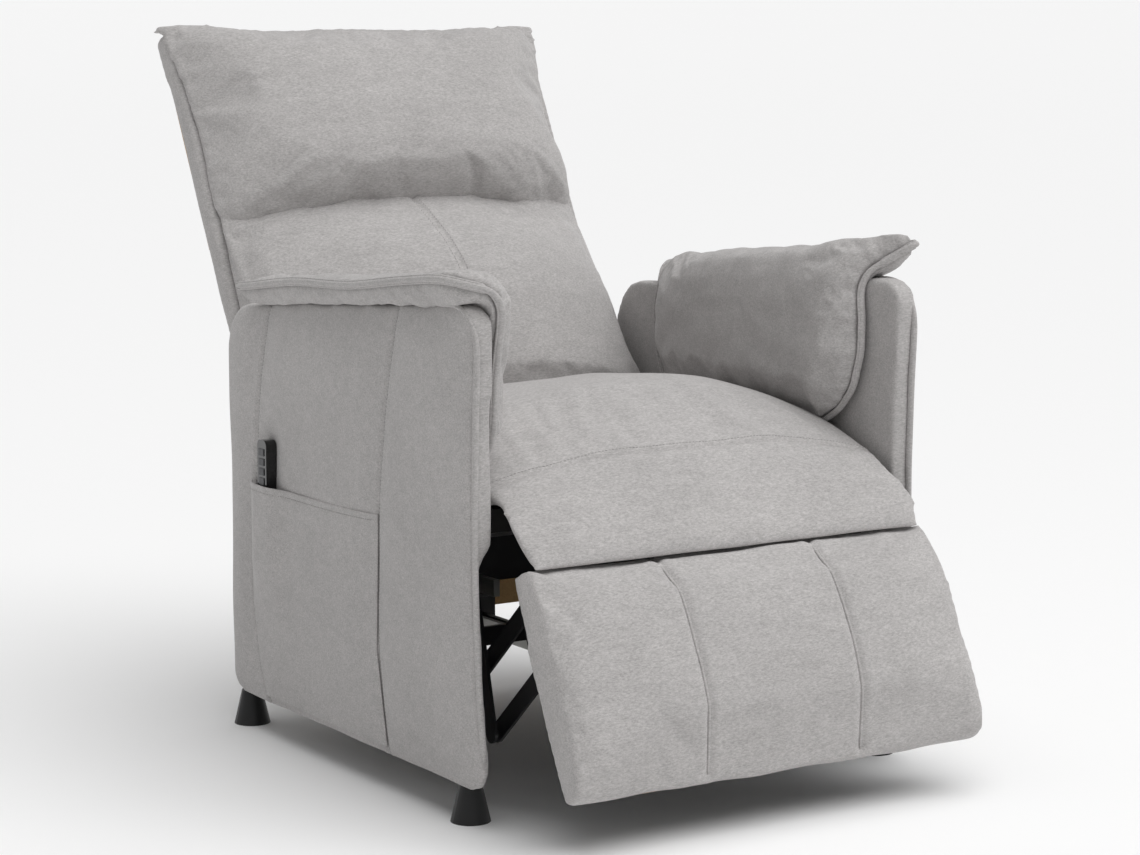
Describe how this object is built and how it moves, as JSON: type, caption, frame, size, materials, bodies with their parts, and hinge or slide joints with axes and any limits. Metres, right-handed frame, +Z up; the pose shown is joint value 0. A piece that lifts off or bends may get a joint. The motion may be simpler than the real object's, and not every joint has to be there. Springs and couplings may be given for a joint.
{
  "type": "recliner armchair",
  "caption": "Upholstered powered recliner armchair with a tilting back, a lift-out footrest on a folding link mechanism, pillow armrests, a side pocket and a handset.",
  "frame": {"origin": "on the floor under the middle of the chair's overall box, back part reclined and footrest part open", "axes": "+Z up, the sitter faces -Y, +X to the sitter's left hand"},
  "size_m": [0.68, 1.1084, 0.937],
  "materials": {
    "wood_frame": "raw plywood and softwood",
    "black_plastic_foot": "moulded",
    "black_painted_steel": "satin powder coat",
    "zinc_steel": "zinc plated",
    "spring_steel": "oiled wire",
    "aluminium_rail": "extruded",
    "black_housing": "moulded",
    "handset_gloss": "gloss",
    "button_grey": "moulded",
    "dust_cloth": "non-woven",
    "cover_fabric": "soft suede-like weave",
    "padded_fabric": "soft suede-like weave over foam"
  },
  "bodies": {
    "base": {"side_board_left": "wood_frame", "side_board_right": "wood_frame", "side_cover_left": "cover_fabric", "side_cover_right": "cover_fabric", "arm_inner_pads": "padded_fabric", "armrest_pad_left": "padded_fabric", "armrest_pad_right": "padded_fabric", "side_pocket": "cover_fabric", "feet": "black_plastic_foot", "foot_studs": "zinc_steel", "foot_blocks": "wood_frame", "base_side_rails": "wood_frame", "mechanism_plates": "black_painted_steel", "frame_bolts": "zinc_steel", "front_cross_rail": "black_painted_steel", "carrier_rails": "aluminium_rail", "rear_cross_rail": "wood_frame", "rear_skirt": "cover_fabric", "seat_side_rails": "wood_frame", "seat_front_rail": "wood_frame", "seat_rear_rail": "wood_frame", "seat_springs": "spring_steel", "seat_cushion": "padded_fabric", "back_hinge_plates": "black_painted_steel", "legrest_guide_rail": "aluminium_rail", "legrest_motor": "black_housing", "back_guide_rail": "aluminium_rail", "back_motor": "black_housing", "drive_hangers": "black_painted_steel", "control_box": "black_housing", "power_inlet": "black_housing"},
    "legrest": {"legrest_board": "wood_frame", "legrest_pad": "padded_fabric", "legrest_brackets": "black_painted_steel", "legrest_dust_cover": "dust_cloth", "chaise_flap": "padded_fabric"},
    "drive_linkage": {"drive_links": "black_painted_steel", "torque_tube": "black_painted_steel"},
    "upper_front_linkage": {"upper_front_links": "black_painted_steel"},
    "lower_rear_linkage": {"lower_rear_links": "black_painted_steel"},
    "lower_front_linkage": {"lower_front_links": "black_painted_steel"},
    "legrest_carriage": {"legrest_carriage": "black_housing"},
    "back_carriage": {"back_carriage": "black_housing"},
    "back": {"back_posts": "wood_frame", "back_lower_rail": "wood_frame", "back_mid_rail": "wood_frame", "back_top_rail": "wood_frame", "back_springs": "spring_steel", "back_cushion": "padded_fabric", "head_pillow": "padded_fabric", "back_rear_panel": "cover_fabric", "back_hinge_brackets": "black_painted_steel", "back_lever": "black_painted_steel"},
    "handset": {"handset_case": "handset_gloss"},
    "button_back_up": {"button_back_up": "button_grey"},
    "button_back_down": {"button_back_down": "button_grey"},
    "button_legrest_up": {"button_legrest_up": "button_grey"},
    "button_legrest_down": {"button_legrest_down": "button_grey"}
  },
  "joints": [
    {"name": "legrest_hinge", "type": "hinge", "parent": "base", "child": "legrest", "pos_m": [0, -0.35487, 0.413], "axis": [-1, 0, 0], "range_deg": [-26.6, 63.3]},
    {"name": "drive_link_hinge", "type": "hinge", "parent": "base", "child": "drive_linkage", "pos_m": [0, -0.21387, 0.286], "axis": [-1, 0, 0], "range_deg": [-26.6, 63.3]},
    {"name": "upper_knee_hinge", "type": "hinge", "parent": "drive_linkage", "child": "upper_front_linkage", "pos_m": [0, -0.23967, 0.1407], "axis": [-1, 0, 0], "range_deg": [-63.3, 26.6]},
    {"name": "lower_rear_link_hinge", "type": "hinge", "parent": "base", "child": "lower_rear_linkage", "pos_m": [0, -0.24887, 0.317], "axis": [-1, 0, 0], "range_deg": [-26.6, 63.3]},
    {"name": "lower_knee_hinge", "type": "hinge", "parent": "lower_rear_linkage", "child": "lower_front_linkage", "pos_m": [0, -0.30347, 0.0985], "axis": [-1, 0, 0], "range_deg": [-63.3, 26.6]},
    {"name": "legrest_drive_slide", "type": "slide", "parent": "base", "child": "legrest_carriage", "axis": [0, -1, 0], "range_m": [-0.03538, 0.08392]},
    {"name": "back_hinge", "type": "hinge", "parent": "base", "child": "back", "pos_m": [0, 0.20713, 0.35], "axis": [-1, 0, 0], "range_deg": [-14, 24]},
    {"name": "back_drive_slide", "type": "slide", "parent": "base", "child": "back_carriage", "axis": [0, -1, 0], "range_m": [-0.02467, 0.04216]},
    {"name": "handset_lift", "type": "slide", "parent": "base", "child": "handset", "axis": [0, 0, 1], "range_m": [0, 0.13]},
    {"name": "button_back_up_press", "type": "slide", "parent": "handset", "child": "button_back_up", "axis": [1, 0, 0], "range_m": [0, 0.001], "stiffness_N_per_m": 900},
    {"name": "button_back_down_press", "type": "slide", "parent": "handset", "child": "button_back_down", "axis": [1, 0, 0], "range_m": [0, 0.001], "stiffness_N_per_m": 900},
    {"name": "button_legrest_up_press", "type": "slide", "parent": "handset", "child": "button_legrest_up", "axis": [1, 0, 0], "range_m": [0, 0.001], "stiffness_N_per_m": 900},
    {"name": "button_legrest_down_press", "type": "slide", "parent": "handset", "child": "button_legrest_down", "axis": [1, 0, 0], "range_m": [0, 0.001], "stiffness_N_per_m": 900}
  ],
  "couplings": [
    {"joint": "drive_link_hinge", "follows": "legrest_hinge", "ratio": 1},
    {"joint": "upper_knee_hinge", "follows": "legrest_hinge", "ratio": -1},
    {"joint": "lower_rear_link_hinge", "follows": "legrest_hinge", "ratio": 1},
    {"joint": "lower_knee_hinge", "follows": "legrest_hinge", "ratio": -1},
    {"joint": "legrest_drive_slide", "follows": "legrest_hinge", "m_per_rad": 0.075776},
    {"joint": "back_drive_slide", "follows": "back_hinge", "m_per_rad": 0.10017}
  ]
}
